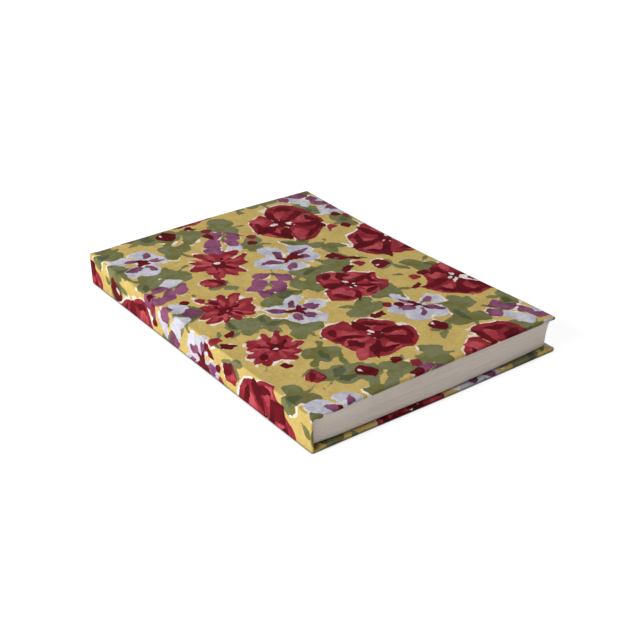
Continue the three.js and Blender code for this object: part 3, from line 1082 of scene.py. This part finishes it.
endpaper = (end_paper, "endpaper")
for side, shape in (("front", bent), ("back", askew)):
    node = side + "_pastedown"
    pastedown = paper(side + "_pasted_sheet", node, *endpaper, side + "_cover", PASTED_SEED, shape)
    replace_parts(pastedown, node)
back_flyleaf = paper("back_free_endpaper", "back_flyleaf", *endpaper, "text_block", FLYLEAF_SEED)
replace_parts(back_flyleaf, "back_flyleaf")
for number, (node, reach) in enumerate(TURNING.items()):
    kind = endpaper if node == "front_flyleaf" else (leaf_paper, "book_paper")
    sheet = paper(node + "_sheet", node, *kind, None, TURNING_SEED + number)
    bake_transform(sheet)
    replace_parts(sheet, node)

for node, finish in (
    ("spine_board", grey_board),
    ("back_mull_flange", flat_gauze),
    ("spine_mull", gauze),
    ("spine_lining", kraft),
    *((f"stitch_row_{k}", thread) for k in range(1, 5)),
):
    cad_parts[node].data.materials.clear()
    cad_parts[node].data.materials.append(finish)


# Floor, light and camera

# How far the floor reaches, in metres, and its grey to light and to the camera
FLOOR_REACH = 12.0
FLOOR_GREY = 0.88
SEEN_FLOOR_GREY = 0.32
# The floor's glow near the notebook, and between which distances it grows to full white
NEAR_GLOW = 0.82
GLOW_REACH = (0.25, 0.8)
# How near the notebook the floor's glow holds a painted contact shadow, in metres, and how open the sky is
# where that starts and ends
PAINTED_SHADOW_REACH = 0.004
PAINTED_SHADOW_SKY = (0.22, 0.62)
# The light that comes from all round
AMBIENT = 0.2
# Where the camera stands in metres, its turns in degrees, and its lens and sensor in millimetres
CAMERA_PLACE = (-0.32742, -0.46125, 0.30507)
CAMERA_TURNS = (54.077, -28.588, -0.825)
CAMERA_LENS = 66.53
CAMERA_SENSOR = 36


def white_to_camera(nodes, share):
    """The share, for rays that show the background to the camera or in a gloss, and 0 for all others"""
    path = nodes.node("LightPath").outputs
    seen = nodes.math("MAXIMUM", path["Is Camera Ray"], path["Is Glossy Ray"])
    seen = nodes.math("MAXIMUM", seen, path["Is Transmission Ray"])
    return nodes.times(seen, share)


ground = Shader("pale_floor", Roughness=0.95, Specular_IOR_Level=0.0, Emission_Color=(1, 1, 1, 1))
# White far away, a little less near the notebook, so that its shadow shows, and a painted contact shadow
# under its edges, where the sky is least open
away = ground.vector("LENGTH", ground.node("TexCoord").outputs["Object"])
open_sky = ground.node("AmbientOcclusion", {"Distance": PAINTED_SHADOW_REACH}, samples=SKY_RAYS).outputs["AO"]
distant = ground.remap(away, *GLOW_REACH, NEAR_GLOW, 1.0)
glow_with_painted_shadow = ground.times(distant, ground.remap(open_sky, *PAINTED_SHADOW_SKY))
ground.set(ground.surface, {"Emission Strength": white_to_camera(ground, glow_with_painted_shadow)})
to_camera = ground.node("LightPath").outputs["Is Camera Ray"]
greys = [(grey, grey, grey, 1) for grey in (FLOOR_GREY, SEEN_FLOOR_GREY)]
ground.set(ground.surface, {"Base Color": ground.mix(to_camera, *greys)})
floor_mesh = bpy.data.meshes.new("floor")
corners = [(x * FLOOR_REACH, y * FLOOR_REACH, 0) for x, y in ((-1, -1), (1, -1), (1, 1), (-1, 1))]
floor_mesh.from_pydata(corners, [], [(0, 1, 2, 3)])
floor_mesh.materials.append(ground.material)
floor = bpy.data.objects.new("floor", floor_mesh)
bpy.context.scene.collection.objects.link(floor)

world = bpy.data.worlds.new("studio")
world.use_nodes = True
bpy.context.scene.world = world
# White as a background, and much weaker as a light
sky = Nodes(world.node_tree)
strength = sky.math("ADD", white_to_camera(sky, 1 - AMBIENT), AMBIENT)
sky.set(sky.tree.nodes["Background"], {"Strength": strength, "Color": (1, 1, 1, 1)})


def lamp(name, place, size, power):
    """A square soft box aimed at the notebook"""
    light = bpy.data.lights.new(name, "AREA")
    light.size = size
    light.energy = power
    light.use_shadow = True
    holder = bpy.data.objects.new(name, light)
    holder.location = place
    holder.rotation_euler = (-Vector(place)).to_track_quat("-Z", "Y").to_euler()
    bpy.context.scene.collection.objects.link(holder)


lamp("key", place=(-2.0, 0.25, 0.95), size=1.1, power=55)
lamp("top", place=(0.3, 0.4, 2.4), size=1.8, power=17)
lamp("fill", place=(0.5, -2.2, 0.6), size=1.8, power=6.5)

yaw, pitch, roll = (math.radians(turn) for turn in CAMERA_TURNS)
forward = Vector((math.cos(yaw) * math.cos(pitch), math.sin(yaw) * math.cos(pitch), math.sin(pitch)))
level = Vector((math.sin(yaw), -math.cos(yaw), 0))
upward = level.cross(forward)
right = math.cos(roll) * level + math.sin(roll) * upward
up = math.cos(roll) * upward - math.sin(roll) * level
camera = bpy.data.objects.new("camera", bpy.data.cameras.new("camera"))
camera.data.sensor_width = CAMERA_SENSOR
camera.data.lens = CAMERA_LENS
turned = Matrix((right, up, -forward)).transposed().to_4x4()
camera.matrix_world = Matrix.Translation(CAMERA_PLACE) @ turned
bpy.context.scene.collection.objects.link(camera)
bpy.context.scene.camera = camera
bpy.context.scene.view_settings.view_transform = "Standard"
